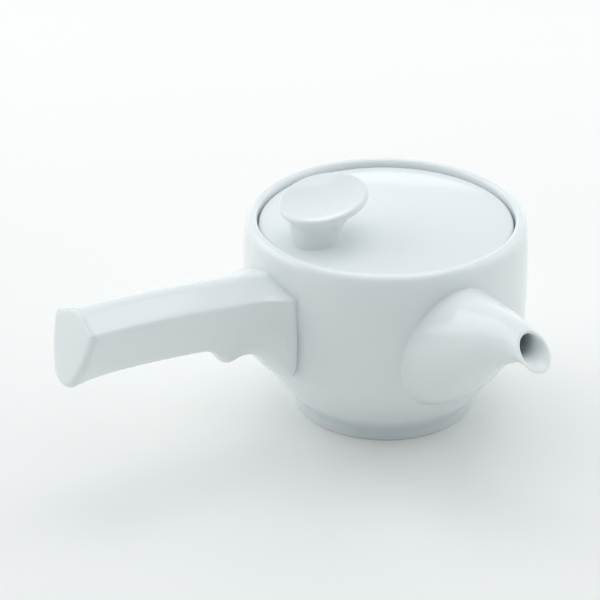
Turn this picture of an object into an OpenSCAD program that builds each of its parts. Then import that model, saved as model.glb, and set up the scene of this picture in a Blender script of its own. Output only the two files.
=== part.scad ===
// Side-handled porcelain teapot with a drop-in lid and a lift-out strainer basket.
// Millimetres. The origin is the centre of the foot on the table and +Z is up.
// The handle runs along -Y and the spout stands close to +X, turned a little towards the handle.

/* [Bowl] */
// Widest diameter of the bowl
body_d = 110; // [104:0.5:118]
// Height of the widest place above the table
belly_z = 58.4; // [54:0.2:62]
// Height of the rim's crest above the table
rim_z = 80.1; // [78:0.1:88]
// Diameter of the rim's crest
rim_d = 102.6; // [100:0.2:104]
// Radius of the rounded lip inside the crest
lip_r = 1.6; // [0.8:0.1:1.8]
// Radius of the rounded shoulder outside the crest
shoulder_r = 2.8; // [2.2:0.1:3.6]
// Thickness of the bowl's wall
bowl_wall = 3.6; // [2.8:0.1:4.4]
// Width of the ledge that carries the strainer and the lid
seat_w = 5.7; // [4.8:0.1:6.4]
// Thickness of the ledge at its inner edge
seat_t = 2; // [1.5:0.1:3]
// Thickness of the slip that joins the spout and the handle to the bowl
slip_t = 0.12; // [0.1:0.01:0.2]

/* [Foot] */
// Diameter of the foot where it stands on the table
foot_d = 69.7; // [64:0.1:74]
// Height of the foot's neck, up to the fillet under the bowl
foot_h = 3; // [2.4:0.1:4]
// How far the neck is drawn in from the standing edge
foot_draw = 0.4; // [0.2:0.1:1]
// Width of the ring that touches the table
foot_w = 3.4; // [2.6:0.1:4.4]
// Diameter of the bowl where the foot's fillet ends
flare_d = 79.6; // [77:0.2:83]
// Height of the foot's fillet
flare_h = 8.2; // [7:0.1:9.2]
// Height of the recess under the floor
recess_h = 5.4; // [4:0.1:6]
// Thickness of the bowl's floor
floor_t = 4.2; // [3.4:0.1:5]

/* [Spout] */
// Angle from the handle round to the spout
spout_turn = 85.5; // [80:0.5:95]
// Height of the spout's egg-shaped root on the bowl
spout_root_h = 52; // [48:0.5:54]
// Width of the root
spout_root_w = 44.8; // [40:0.2:48]
// Height of the middle of the root
spout_root_z = 46; // [44:0.5:47]
// Distance from the bowl's widest place to the middle of the mouth
spout_reach = 49.6; // [45:0.1:54]
// Height of the middle of the mouth
mouth_z = 69.3; // [67:0.1:72]
// Length of the oblique mouth from its upper to its lower lip
mouth_l = 17.4; // [15:0.2:20]
// Width of the mouth
mouth_w = 13.4; // [11.4:0.2:15]
// Angle between the mouth's plane and the vertical
mouth_tilt = 45.4; // [40:0.2:50]
// How far the neck is drawn in under the lip
neck_draw = 0.9; // [0.4:0.1:1.2]
// Thickness of the spout's wall at its root
spout_wall = 3.4; // [2.8:0.1:4]
// Thickness of the lip at the mouth
spout_lip = 1.4; // [1.1:0.1:1.8]
// Diameter of the hole in the bowl behind the spout
spout_hole_d = 26; // [20:0.5:30]

/* [Handle] */
// Length from the bowl's widest place to the end, along the ridge
handle_l = 84.2; // [72:0.5:95]
// Height of the ridge where the handle leaves the bowl
handle_z = 64.2; // [62:0.2:66]
// Rise of the ridge from the bowl to the end
handle_rise = 8.2; // [6:0.1:12]
// Width between the two ridges
handle_w = 26.2; // [23:0.2:30]
// Extra width of the end
end_spread = 1.8; // [0:0.1:2.4]
// Rise of the roof-shaped top above the ridges
handle_crown = 6.2; // [5:0.1:7]
// Rounding of the crest along the top
crest_r = 9; // [7:0.5:12]
// Rounding of the crest at the end
crest_end_r = 16; // [12:0.5:18]
// Depth from the ridges down to the keel
handle_depth = 22.2; // [21:0.2:26]
// Extra depth of the end
end_drop = 2.5; // [0:0.1:3]
// Rounding of the ridges
ridge_r = 1.5; // [1.2:0.1:2.4]
// Rounding of the ridges at the end
ridge_end_r = 2.2; // [1.5:0.1:3]
// Rounding of the keel
keel_r = 5; // [4.2:0.1:6]
// Rounding of the keel at the end
keel_end_r = 9.6; // [7:0.1:10]
// Radius of the slightly bulged sides
side_r = 90; // [70:1:120]
// Radius of the sides at the end
side_end_r = 34; // [30:1:50]
// Tilt of the end face, which looks a little upward
end_tilt = 15; // [10:0.5:18]
// Rounding of the edge around the end face
end_round = 2; // [1:0.1:2]
// Distance from the bowl to the finger stop under the handle
finger_stop_at = 18; // [15:0.5:22]
// Drop of the finger stop below the heel
finger_stop_h = 2.6; // [1.5:0.1:4]
// Extra depth of the heel between the bowl and the finger stop
heel_depth = 4.2; // [2:0.1:5]
// Spread of the root to each side
root_spread = 4; // [2.5:0.1:5]
// Extra depth of the root against the bowl
root_drop = 12; // [8:0.5:13]
// Thickness of the hollow handle's wall
handle_wall = 3.2; // [2.6:0.1:3.6]

/* [Lid] */
// Gap between the lid's edge and the rim around it
lid_gap = 0.7; // [0.5:0.1:1.4]
// Depth of the lid's edge below the rim's crest
lid_sink = 2.4; // [1.8:0.1:4]
// Thickness of the lid's edge
lid_edge_t = 4.1; // [3:0.1:5]
// Rounding of the lid's upper edge
lid_edge_r = 1.4; // [0.8:0.1:2]
// Rise of the dome from the edge to the middle
lid_rise = 3.6; // [2.4:0.1:5]
// Thickness of the dome
lid_t = 3.2; // [2.6:0.1:4]
// Depth of the collar under the lid
collar_h = 6; // [4:0.2:9]
// Thickness of the collar
collar_t = 3; // [2.4:0.1:4]
// Gap between the lid's collar and the strainer around it
collar_gap = 1.2; // [0.6:0.1:2]

/* [Knob] */
// Distance of the stem from the lid's middle, towards the handle
knob_offset = 32.9; // [27:0.1:34]
// Diameter of the stem
stem_d = 20; // [17:0.2:22]
// Height of the disc's middle above the lid
knob_h = 14.8; // [12:0.1:17]
// Diameter of the disc
disc_d = 34.6; // [31:0.2:37]
// Tilt of the disc towards the handle
disc_tilt = 12.5; // [8:0.5:16]
// Shift of the disc from the stem, away from the handle
disc_shift = 3.7; // [2:0.1:4.5]
// Depth of the dished thumb rest
dish_depth = 2.2; // [1:0.1:3]
// Rounding of the disc's upper edge
disc_edge_r = 1.2; // [0.8:0.1:1.8]
// Rounding of the disc's edge underneath
disc_under_r = 2.2; // [1.4:0.1:2.6]

/* [Strainer] */
// Sheet thickness of the pressed rim and the base ring
strainer_t = 0.6; // [0.4:0.1:1]
// Width of the flange that lies on the ledge
flange_w = 4.6; // [3.6:0.1:5.4]
// Gap between the strainer's rim and the ledge's inner edge
rim_gap = 0.6; // [0.4:0.1:1]
// Length of the pressed band below the flange
band_h = 8; // [5:0.5:12]
// Depth of the basket below the flange
basket_h = 37; // [30:0.5:42]
// Thickness of the mesh
mesh_t = 0.5; // [0.3:0.1:0.8]
// Height of the base ring around the mesh
base_band_h = 4; // [3:0.2:6]
// Width of the base ring's lip under the mesh
base_lip_w = 5; // [3:0.2:8]

/* [Hidden] */

porcelain = "#e9eff1";
steel = "#c3c6c8";
$fn = 96;

// Steps along a profile curve, and around a round section
curve_steps = 24;
round_steps = 48;

// Radii and heights of the bowl
body_r = body_d / 2;
rim_r = rim_d / 2;
foot_r = foot_d / 2;
neck_r = foot_r - foot_draw;
flare_r = flare_d / 2;
flare_z = foot_h + flare_h;
floor_z = recess_h + floor_t;
mouth_r = rim_r - lip_r;

// The bowl's outer line: the shoulder's arc from the crest, the side down to the belly, the flank down
// to the fillet, and the fillet down to the foot's neck. A pull is the way from a curve's end to its
// control point.
shoulder_turn = 70;
side_pull = 2.5;
belly_rise = [0, 8];
belly_drop = [0, -33];
flare_pull = [14.7, 20.1];
fillet_pull = [-2.9, -4];
neck_pull = [0, 2.4];
side_top = [rim_r + shoulder_r * sin(shoulder_turn), rim_z - shoulder_r * (1 - cos(shoulder_turn))];
belly = [body_r, belly_z];
flare = [flare_r, flare_z];
neck = [neck_r, foot_h];
side_way = [cos(shoulder_turn), -sin(shoulder_turn)];
side = [side_top, side_top + side_pull * side_way, belly + belly_rise, belly];
flank = [belly, belly + belly_drop, flare + flare_pull, flare];
fillet = [flare, flare + fillet_pull, neck + neck_pull, neck];
lip_steps = 6;
fillet_steps = 8;

// Draft of the recess under the floor, and width of the slope from the floor up to the flank
recess_draft = 0.6;
floor_slope_w = 6;

// Heights of the lid and of its seat, downward from the crest
lid_edge_z = rim_z - lid_sink;
lid_under_z = lid_edge_z - lid_edge_t;
seat_z = lid_under_z - strainer_t;
seat_r = mouth_r - seat_w;
lid_r = mouth_r - lid_gap;

// Radii and heights of the strainer, inward from the seat
band_r = seat_r - rim_gap;
sleeve_r = band_r - strainer_t;
sleeve_in_r = sleeve_r - mesh_t;
base_z = lid_under_z - basket_h;
floor_mesh_z = base_z + strainer_t;
sleeve_bottom_z = floor_mesh_z + mesh_t;

// The lid's collar and dome
collar_r = sleeve_in_r - collar_gap;
dome_r = ((lid_r - lid_edge_r) ^ 2 + lid_rise ^ 2) / (2 * lid_rise);
dome_top_z = lid_edge_z + lid_rise;

// The spout's mouth
mouth_x = body_r + spout_reach;
mouth_up = [-sin(mouth_tilt), cos(mouth_tilt)];
mouth_top = [mouth_x, mouth_z] + mouth_up * mouth_l / 2;
mouth_bottom = [mouth_x, mouth_z] - mouth_up * mouth_l / 2;

// Curves
function lerp(a, b, t) = a + (b - a) * t;
function bezier(p, t) =
    (1 - t) ^ 3 * p[0] + 3 * t * (1 - t) ^ 2 * p[1] + 3 * t ^ 2 * (1 - t) * p[2] + t ^ 3 * p[3];
function bezier_slope(p, t) =
    3 * ((1 - t) ^ 2 * (p[1] - p[0]) + 2 * t * (1 - t) * (p[2] - p[1]) + t ^ 2 * (p[3] - p[2]));
function inward(v) = [v[1], -v[0]] / norm(v);
function inset_curve(p, steps, depth) =
    [for (i = [0:steps]) bezier(p, i / steps) + depth * inward(bezier_slope(p, i / steps))];
function arc(centre, r, from, to, steps) =
    [for (i = [0:steps]) let (a = lerp(from, to, i / steps)) centre + r * [cos(a), sin(a)]];
function tail(points) = [for (i = [1:len(points) - 1]) points[i]];
function fade(u, span) = exp(-u / span);
function bump(u, at, span) = exp(-((u - at) / span) ^ 2);

// The bowl's outer radius at a height, found by halving the curve's parameter
function halve(p, z, low, high, left) =
    let (mid = (low + high) / 2)
    left == 0 ? mid
    : bezier(p, mid)[1] > z ? halve(p, z, mid, high, left - 1)
    : halve(p, z, low, mid, left - 1);
function bowl_r(z) =
    let (p = z > belly_z ? side : flank)
    bezier(p, halve(p, z, 0, 1, 24))[0];

// How far out a piece that is stuck on the bowl begins, at a distance to the side and a height
function on_bowl(side, z) = sqrt((bowl_r(z) + slip_t) ^ 2 - side ^ 2);

// A closed skin over rings that have as many points each. It is capped with a fan at both ends,
// or else its last ring meets its first.
module skin(rings, caps = []) {
    n = len(rings[0]);
    m = len(rings);
    capped = len(caps) == 2;
    last = capped ? m - 2 : m - 1;
    points = concat([for (ring = rings) each ring], caps);
    walls = [
        for (j = [0:last], i = [0:n - 1])
            let (
                a = j * n + i,
                b = j * n + (i + 1) % n,
                c = ((j + 1) % m) * n + (i + 1) % n,
                d = ((j + 1) % m) * n + i
            )
            each [[a, c, b], [a, d, c]]
    ];
    fans = capped ? [
        for (i = [0:n - 1])
            each [
                [m * n, i, (i + 1) % n],
                [m * n + 1, (m - 1) * n + (i + 1) % n, (m - 1) * n + i]
            ]
    ] : [];
    polyhedron(points = points, faces = concat(walls, fans), convexity = 6);
}

// The thrown bowl with its foot ring and the ledge inside the rim
module pot_bowl() {
    inner = inset_curve(flank, curve_steps, bowl_wall);
    inner_foot = inner[curve_steps];
    ledge_root = [body_r - bowl_wall, seat_z - seat_t - seat_w - bowl_wall / 2];
    profile = concat(
        [for (i = [curve_steps:-1:0]) if (inner[i][1] < ledge_root[1]) inner[i]],
        [ledge_root, [seat_r, seat_z - seat_t], [seat_r, seat_z], [mouth_r, seat_z]],
        arc([rim_r, rim_z - lip_r], lip_r, 180, 90, lip_steps),
        tail(arc([rim_r, rim_z - shoulder_r], shoulder_r, 90, 90 - shoulder_turn, lip_steps)),
        tail([for (i = [0:curve_steps]) bezier(side, i / curve_steps)]),
        tail([for (i = [0:curve_steps]) bezier(flank, i / curve_steps)]),
        tail([for (i = [0:fillet_steps]) bezier(fillet, i / fillet_steps)]),
        [[foot_r, 0], [foot_r - foot_w, 0], [foot_r - foot_w - recess_draft, recess_h]],
        [[0, recess_h], [0, floor_z], [inner_foot[0] - floor_slope_w, floor_z]]
    );
    color(porcelain)
    difference() {
        rotate_extrude() polygon(profile);
        turned_to_spout()
            translate([0, 0, spout_root_z])
                rotate([0, 90, 0])
                    cylinder(d = spout_hole_d, h = body_d);
    }
}

// The spout: a loft between its upper and lower lines, hollow, seated on the bowl
spout_top = spout_root_z + spout_root_h / 2;
spout_bottom = spout_root_z - spout_root_h / 2;
root_top = [bowl_r(spout_top), spout_top];
root_bottom = [bowl_r(spout_bottom), spout_bottom];
root_top_pull = [18, 2.6];
root_bottom_pull = [21.5, 10.8];
mouth_top_pull = [-8, 2.4];
mouth_bottom_pull = [-30, 0.4];
root_side_pull = -5.3;
mouth_side_pull = 0.1;
spout_upper = [root_top, root_top + root_top_pull, mouth_top + mouth_top_pull, mouth_top];
spout_lower = [root_bottom, root_bottom + root_bottom_pull, mouth_bottom + mouth_bottom_pull, mouth_bottom];
spout_half_w = [
    spout_root_w / 2,
    spout_root_w / 2 + root_side_pull,
    mouth_w / 2 + mouth_side_pull,
    mouth_w / 2
];

// How much narrower the root is at its top, where the neck is drawn in, and how far the bowl shapes the loft
egg = 0.12;
neck_at = 0.88;
neck_span = 0.1;
root_fade = 0.4;
spout_steps = 22;

function spout_point(t, a, inset) =
    let (
        top = bezier(spout_upper, t),
        bottom = bezier(spout_lower, t),
        up = (top - bottom) / norm(top - bottom),
        thin = inset + neck_draw * bump(t, neck_at, neck_span) * (1 - sin(a)) / 2,
        middle = (top + bottom) / 2 + up * (norm(top - bottom) / 2 - thin) * sin(a),
        side = (bezier(spout_half_w, t) - thin) * cos(a) * (1 - egg * (1 - t) * sin(a))
    )
    [middle[0], side, middle[1]];
function spout_ring(t, inset) = [
    for (i = [0:round_steps - 1])
        let (
            a = 360 * i / round_steps,
            p = spout_point(t, a, inset),
            root = spout_point(0, a, inset),
            shift = on_bowl(root[1], root[2]) - root[0]
        )
        p + [shift * max(0, 1 - t / root_fade) ^ 2, 0, 0]
];
function spout_inset(t) = lerp(spout_wall, spout_lip, t);

module turned_to_spout() {
    rotate([0, 0, spout_turn - 90]) children();
}

module spout() {
    lip_crown = spout_lip / 3;
    lip_out = [cos(mouth_tilt), 0, sin(mouth_tilt)] * lip_crown;
    rings = concat(
        [for (j = [0:spout_steps]) spout_ring(j / spout_steps, 0)],
        [[for (p = spout_ring(1, spout_lip / 2)) p + lip_out]],
        [for (j = [spout_steps:-1:0]) spout_ring(j / spout_steps, spout_inset(j / spout_steps))]
    );
    color(porcelain) turned_to_spout() skin(rings);
}

// The handle's section: a roof-shaped top with a round crest, two ridges, bulged sides and a round keel
crest_steps = 4;
roof_steps = 5;
ridge_steps = 3;
side_steps = 4;
function side_centre(k, q, ridge, keel, r) =
    let (
        span = norm(q - k),
        along = (q - k) / span,
        reach = ((r - ridge) ^ 2 - (r - keel) ^ 2 + span ^ 2) / (2 * span)
    )
    k + along * reach + sqrt((r - ridge) ^ 2 - reach ^ 2) * [along[1], -along[0]];
function bearing(from, to) = atan2(to[1] - from[1], to[0] - from[0]);
function half_section(w, crown, depth, crest, ridge, keel, r) =
    let (
        k = [w - ridge, 0],
        q = [0, keel - depth],
        top = [0, crown - crest],
        side = side_centre(k, q, ridge, keel, r),
        a1 = bearing(top, k) + acos((crest - ridge) / norm(k - top)),
        a2 = bearing(side, k),
        a3 = bearing(side, q),
        crest_line = arc(top, crest, 90, a1, crest_steps),
        ridge_line = arc(k, ridge, a1, a2, ridge_steps)
    )
    concat(
        crest_line,
        [for (i = [1:roof_steps - 1]) lerp(crest_line[crest_steps], ridge_line[0], i / roof_steps)],
        ridge_line,
        tail(arc(side, r, a2, a3, side_steps)),
        tail(arc(q, keel, a3, -90, side_steps))
    );
function mirrored(half) =
    concat([for (p = half) [-p[0], p[1]]], [for (i = [len(half) - 2:-1:1]) half[i]]);

// What the root adds to the section, and the distance over which each of these dies away
root_spread_l = 5;
root_drop_l = 2;
root_keel_r = 7;
root_keel_l = 3;
root_bulge = 30;
root_bulge_l = 4;

// Half the length of the finger stop, and where and how softly the heel ends past it
finger_stop_l = 4;
heel_past = 4;
heel_ease = 1.5;

// How late the end's forms set in, and least roundings inside the hollow handle
end_onset = 8;
least_ridge_r = 0.3;
least_keel_r = 0.8;

// The section at a distance from the bowl's widest place
function heel(u) = 1 / (1 + exp((u - finger_stop_at - heel_past) / heel_ease));
function ending(u) = (u / handle_l) ^ end_onset;
function keel_radius(u) = lerp(keel_r, keel_end_r, ending(u)) + root_keel_r * fade(u, root_keel_l);
function handle_drop(u) =
    handle_depth + heel_depth * heel(u) + finger_stop_h * bump(u, finger_stop_at, finger_stop_l)
    + root_drop * fade(u, root_drop_l) + end_drop * ending(u);
function handle_half_w(u) = (handle_w + end_spread * ending(u)) / 2 + root_spread * fade(u, root_spread_l);
function handle_section(u, inset) =
    mirrored(half_section(
        handle_half_w(u) - inset,
        handle_crown - inset,
        handle_drop(u) - inset,
        lerp(crest_r, crest_end_r, ending(u)) - inset,
        max(lerp(ridge_r, ridge_end_r, ending(u)) - inset, least_ridge_r),
        max(keel_radius(u) - inset, least_keel_r),
        lerp(side_r, side_end_r, ending(u)) - root_bulge * fade(u, root_bulge_l) - inset
    ));

// How much the ridge arches upward between the bowl and the end
handle_bow = 0.7;
function ridge_z(u) =
    let (s = u / handle_l)
    handle_z + handle_rise * ((1 + handle_bow) * s - handle_bow * s ^ 2);
function handle_ring(u, inset, out = 0) =
    let (tilt = end_tilt * u / handle_l)
    [
        for (p = handle_section(u, inset))
            [
                p[0],
                p[1] * sin(tilt) - out * cos(tilt) - body_r - u,
                p[1] * cos(tilt) + out * sin(tilt) + ridge_z(u)
            ]
    ];
function root_ring(inset) = [
    for (p = handle_ring(0, inset))
        [p[0], -on_bowl(p[0], p[2]), p[2]]
];
function middle(ring) = [for (k = [0:2]) (ring[0][k] + ring[len(ring) / 2][k]) / 2];

module handle() {
    step = 1.5;
    heel_to = finger_stop_at + 8 * step;
    grip_from = heel_to + 2 * step;
    grip_to = handle_l - end_round;
    grip_steps = 8;
    cavity_to = handle_l - 2 * handle_wall;
    cavity = [
        for (i = [grip_steps:-1:0]) handle_ring(lerp(grip_from, cavity_to, i / grip_steps), handle_wall),
        for (u = [heel_to:-2 * step:2 * step]) handle_ring(u, handle_wall),
        root_ring(handle_wall)
    ];
    outside = [
        root_ring(0),
        for (u = [step:step:heel_to]) handle_ring(u, 0),
        for (i = [0:grip_steps]) handle_ring(lerp(grip_from, grip_to, i / grip_steps), 0)
    ];
    rounded_end = [
        for (a = [30, 60, 90])
            handle_ring(grip_to, end_round * (1 - cos(a)), end_round * sin(a))
    ];
    rings = concat(cavity, outside, rounded_end);
    color(porcelain) skin(rings, [middle(rings[0]), middle(rings[len(rings) - 1])]);
}

// The lid: a shallow dome with a collar that reaches down into the strainer
function dome_z(r) = dome_top_z - dome_r + sqrt(dome_r ^ 2 - r ^ 2);

module lid() {
    dome_steps = 12;
    edge_steps = 4;
    edge_from = 75;
    flat_r = lid_r - lid_edge_r;
    hollow_r = collar_r - collar_t;
    collar_z = lid_under_z - collar_h;
    top = [for (i = [0:dome_steps]) let (r = flat_r * i / dome_steps) [r, dome_z(r)]];
    under = [for (i = [dome_steps:-1:0]) let (r = hollow_r * i / dome_steps) [r, dome_z(r) - lid_t]];
    profile = concat(
        top,
        arc([flat_r, lid_edge_z - lid_edge_r], lid_edge_r, edge_from, 0, edge_steps),
        [[lid_r, lid_under_z], [collar_r, lid_under_z], [collar_r, collar_z], [hollow_r, collar_z]],
        under
    );
    color(porcelain) rotate_extrude() polygon(profile);
}

// The knob: a round stem that flares into a tilted, dished disc
knob_base_z = dome_z(knob_offset);
disc_r = disc_d / 2;
stem_r = stem_d / 2;
knob_steps = 12;

function knob_ring(r, rise, lean, lift = 0) =
    let (
        tilt = disc_tilt * lean,
        centre = [0, disc_shift * lean - knob_offset, knob_base_z + rise],
        normal = [0, -sin(tilt), cos(tilt)]
    )
    [
        for (i = [0:round_steps - 1])
            let (a = 360 * i / round_steps)
            centre + lift * normal + r * [cos(a), sin(a) * cos(tilt), sin(a) * sin(tilt)]
    ];
function on_dome(ring) = [for (p = ring) [p[0], p[1], dome_z(norm([p[0], p[1]]))]];

module lid_knob() {
    stem_waist = 0.2;
    waist_at = 0.35;
    flare_out = 0.8;
    flare_at = 0.62;
    dish_r = disc_r - disc_edge_r;
    outline = [
        [stem_r, 0],
        [stem_r - stem_waist, knob_h * waist_at],
        [stem_r + flare_out, knob_h * flare_at],
        [disc_r - disc_under_r, knob_h]
    ];
    base = [for (s = [1 / 3, 2 / 3, 1]) on_dome(knob_ring(stem_r * s, 0, 0))];
    stem = [
        for (j = [1:knob_steps])
            let (t = j / knob_steps, p = bezier(outline, t))
            knob_ring(p[0], p[1], t ^ 2, -disc_under_r * t ^ 2)
    ];
    edge = [
        for (a = [-45, 0, 45, 90])
            let (r = a < 0 ? disc_under_r : disc_edge_r)
            knob_ring(disc_r - r * (1 - cos(a)), knob_h, 1, r * sin(a))
    ];
    dish = [
        for (s = [0.95, 0.85, 0.7, 0.5, 0.25])
            knob_ring(dish_r * s, knob_h, 1, disc_edge_r - dish_depth * (1 - s ^ 2))
    ];
    rings = concat(base, stem, edge, dish);
    base_middle = [0, -knob_offset, knob_base_z];
    dish_middle = knob_ring(0, knob_h, 1, disc_edge_r - dish_depth)[0];
    color(porcelain) skin(rings, [base_middle, dish_middle]);
}

// The strainer: a pressed rim, a mesh sleeve, a mesh floor and the ring that holds the floor
module strainer_rim() {
    profile = [
        [sleeve_r, seat_z - band_h],
        [band_r, seat_z - band_h],
        [band_r, seat_z],
        [seat_r + flange_w, seat_z],
        [seat_r + flange_w, lid_under_z],
        [sleeve_r, lid_under_z]
    ];
    color(steel) rotate_extrude() polygon(profile);
}

module strainer_sleeve() {
    color(steel)
    rotate_extrude()
        translate([sleeve_in_r, sleeve_bottom_z])
            square([mesh_t, lid_under_z - strainer_t - sleeve_bottom_z]);
}

module strainer_floor() {
    color(steel)
    translate([0, 0, floor_mesh_z])
        cylinder(r = sleeve_r, h = mesh_t);
}

module strainer_base_ring() {
    profile = [
        [sleeve_r - base_lip_w, base_z],
        [band_r, base_z],
        [band_r, base_z + base_band_h],
        [sleeve_r, base_z + base_band_h],
        [sleeve_r, floor_mesh_z],
        [sleeve_r - base_lip_w, floor_mesh_z]
    ];
    color(steel) rotate_extrude() polygon(profile);
}

pot_bowl();
spout();
handle();
lid();
lid_knob();
strainer_rim();
strainer_sleeve();
strainer_floor();
strainer_base_ring();
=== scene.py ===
# %% [markdown]
# A side-handled porcelain teapot, from frame to picture.
#
# The pot is white glazed porcelain: a thrown bowl, a cast spout and a cast handle stuck onto it, a lid
# that drops inside the rim, and a knob with a tilted thumb rest. Inside hangs a steel strainer basket.
# The frame already holds each piece as a plain solid, in metres, with the table at height zero. Here
# each piece is modelled again with soft edges and joints, gets its finish, and is set to ride on its
# body.

# %% Load the frame
import math

import bmesh
import bpy
from mathutils import Matrix, Vector


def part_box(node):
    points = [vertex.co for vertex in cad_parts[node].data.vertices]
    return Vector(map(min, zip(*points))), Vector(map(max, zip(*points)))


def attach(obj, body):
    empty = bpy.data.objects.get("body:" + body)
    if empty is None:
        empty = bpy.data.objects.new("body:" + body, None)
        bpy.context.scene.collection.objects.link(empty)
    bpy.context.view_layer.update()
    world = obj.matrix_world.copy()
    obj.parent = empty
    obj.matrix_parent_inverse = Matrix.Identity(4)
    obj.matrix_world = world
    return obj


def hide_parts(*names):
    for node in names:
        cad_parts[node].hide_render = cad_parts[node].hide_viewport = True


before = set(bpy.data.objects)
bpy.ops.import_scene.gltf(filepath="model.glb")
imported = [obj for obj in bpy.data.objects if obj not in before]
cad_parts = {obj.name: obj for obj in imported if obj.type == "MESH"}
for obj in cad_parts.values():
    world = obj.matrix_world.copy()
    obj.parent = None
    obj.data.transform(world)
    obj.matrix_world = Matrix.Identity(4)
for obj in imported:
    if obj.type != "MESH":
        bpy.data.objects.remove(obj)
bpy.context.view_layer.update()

# %% [markdown]
# The camera comes first, because everything is judged through it. The picture was taken with a long
# lens from well above the table, so the ellipses of the rim, the lid and the foot are nearly alike. The
# lens, the distance and the angles below make those three ellipses fall where the photograph has them.

# %% Camera
mm = 0.001
image_side = 600
focal_pixels = 3200
sensor_width = 36

view_turn = math.radians(54.5)
view_height = math.radians(27.704)
look_down = math.radians(27.383)
look_aside = math.radians(-1.714)
view_distance = 1249.7 * mm
view_target = Vector((0, 0, 35 * mm))

to_view = Matrix.Rotation(view_turn, 3, "Z")
camera_place = view_target + view_distance * (
    to_view @ Vector((0, -math.cos(view_height), math.sin(view_height)))
)
forward = to_view @ Vector((
    math.sin(look_aside) * math.cos(look_down),
    math.cos(look_aside) * math.cos(look_down),
    -math.sin(look_down),
))
rightward = to_view @ Vector((math.cos(look_aside), -math.sin(look_aside), 0))
upward = rightward.cross(forward)

bpy.ops.object.select_all(action="DESELECT")
bpy.ops.object.camera_add(location=camera_place)
camera = bpy.context.object
camera.name = "photo_camera"
camera.rotation_euler = Matrix((rightward, upward, -forward)).transposed().to_euler()
camera.data.sensor_width = sensor_width
camera.data.lens = focal_pixels * sensor_width / image_side
bpy.context.scene.camera = camera
bpy.context.scene.view_settings.view_transform = "Standard"
print("camera at", [round(c, 3) for c in camera_place], "with a lens of", camera.data.lens, "mm")

# %% [markdown]
# The pot stands on one sheet of white paper. The paper is a wide plane, and its colour is painted shade
# that runs along the view, from a light grey in front, where less light falls, to nearly white behind the
# pot. Rays from the camera and from reflections see it a little lighter than it is lit, so the paper
# looks white while the pot gets no more light from it.

# %% Floor
paper_side = 12
# The grey in front is painted shade, since less light falls there than behind the pot.
paper_near, painted_shade_grey = -0.25, (0.84, 0.85, 0.84, 1)
paper_far, far_white = 0.35, (0.96, 0.958, 0.94, 1)
paper_lift = 0.035

bpy.ops.object.select_all(action="DESELECT")
bpy.ops.mesh.primitive_plane_add(size=paper_side)
floor = bpy.context.object
floor.name = "paper_floor"

paper = bpy.data.materials.new("white_paper")
paper.use_nodes = True
paper_nodes = paper.node_tree.nodes
paper_links = paper.node_tree.links
paper_shader = paper_nodes["Principled BSDF"]
paper_shader.inputs["Roughness"].default_value = 0.9
paper_shader.inputs["Specular IOR Level"].default_value = 0.1
paper_place = paper_nodes.new("ShaderNodeTexCoord")
paper_depth = paper_nodes.new("ShaderNodeVectorMath")
paper_depth.operation = "DOT_PRODUCT"
paper_depth.inputs[1].default_value = to_view @ Vector((0, 1, 0))
paper_fade = paper_nodes.new("ShaderNodeMapRange")
paper_fade.inputs["From Min"].default_value = paper_near
paper_fade.inputs["From Max"].default_value = paper_far
# The paper's colour is painted shade, grey in front and white behind.
paper_painted_shade = paper_nodes.new("ShaderNodeMix")
paper_painted_shade.data_type = "RGBA"
paper_painted_shade.inputs[6].default_value = painted_shade_grey
paper_painted_shade.inputs[7].default_value = far_white
paper_links.new(paper_place.outputs["Object"], paper_depth.inputs[0])
paper_links.new(paper_depth.outputs["Value"], paper_fade.inputs["Value"])
paper_links.new(paper_fade.outputs["Result"], paper_painted_shade.inputs[0])
paper_links.new(paper_painted_shade.outputs[2], paper_shader.inputs["Base Color"])

paper_rays = paper_nodes.new("ShaderNodeLightPath")
paper_seen = paper_rays.outputs["Is Camera Ray"]
for ray in ("Is Glossy Ray", "Is Transmission Ray"):
    either = paper_nodes.new("ShaderNodeMath")
    either.operation = "MAXIMUM"
    paper_links.new(paper_seen, either.inputs[0])
    paper_links.new(paper_rays.outputs[ray], either.inputs[1])
    paper_seen = either.outputs["Value"]
paper_glow = paper_nodes.new("ShaderNodeMath")
paper_glow.operation = "MULTIPLY"
paper_glow.inputs[1].default_value = paper_lift
paper_links.new(paper_seen, paper_glow.inputs[0])
paper_links.new(paper_glow.outputs["Value"], paper_shader.inputs["Emission Strength"])
paper_shader.inputs["Emission Color"].default_value = (1, 1, 1, 1)
floor.data.materials.append(paper)

# %% [markdown]
# The light is that of a pale room with its windows behind and beside the table. The room is bright at
# the back and dimmer behind the camera, so the front of the pot lies in soft shade. A wide strip glows
# behind the table, two large panels stand at the sides, two low ones reach under the handle and the
# spout, and two hang overhead and light the lid. The room and the overhead panel in front are a little
# blue, as the light of the sky is, which keeps the shade cool. The powers stay low enough for the lit
# sides of white porcelain to keep their shading.

# %% Room light
def pale_room(front, back, tint):
    """A room of pale light that is darker on the camera's side than behind the table."""
    room = bpy.data.worlds.new("pale_room")
    bpy.context.scene.world = room
    room.use_nodes = True
    nodes = room.node_tree.nodes
    links = room.node_tree.links
    sight = nodes.new("ShaderNodeTexCoord")
    behind = nodes.new("ShaderNodeVectorMath")
    behind.operation = "DOT_PRODUCT"
    behind.inputs[1].default_value = to_view @ Vector((0, 1, 0))
    level = nodes.new("ShaderNodeMapRange")
    level.inputs["From Min"].default_value = -1
    level.inputs["From Max"].default_value = 1
    level.inputs["To Min"].default_value = front
    level.inputs["To Max"].default_value = back
    links.new(sight.outputs["Generated"], behind.inputs[0])
    links.new(behind.outputs["Value"], level.inputs["Value"])
    nodes["Background"].inputs["Color"].default_value = (*tint, 1)
    links.new(level.outputs["Result"], nodes["Background"].inputs["Strength"])


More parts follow.
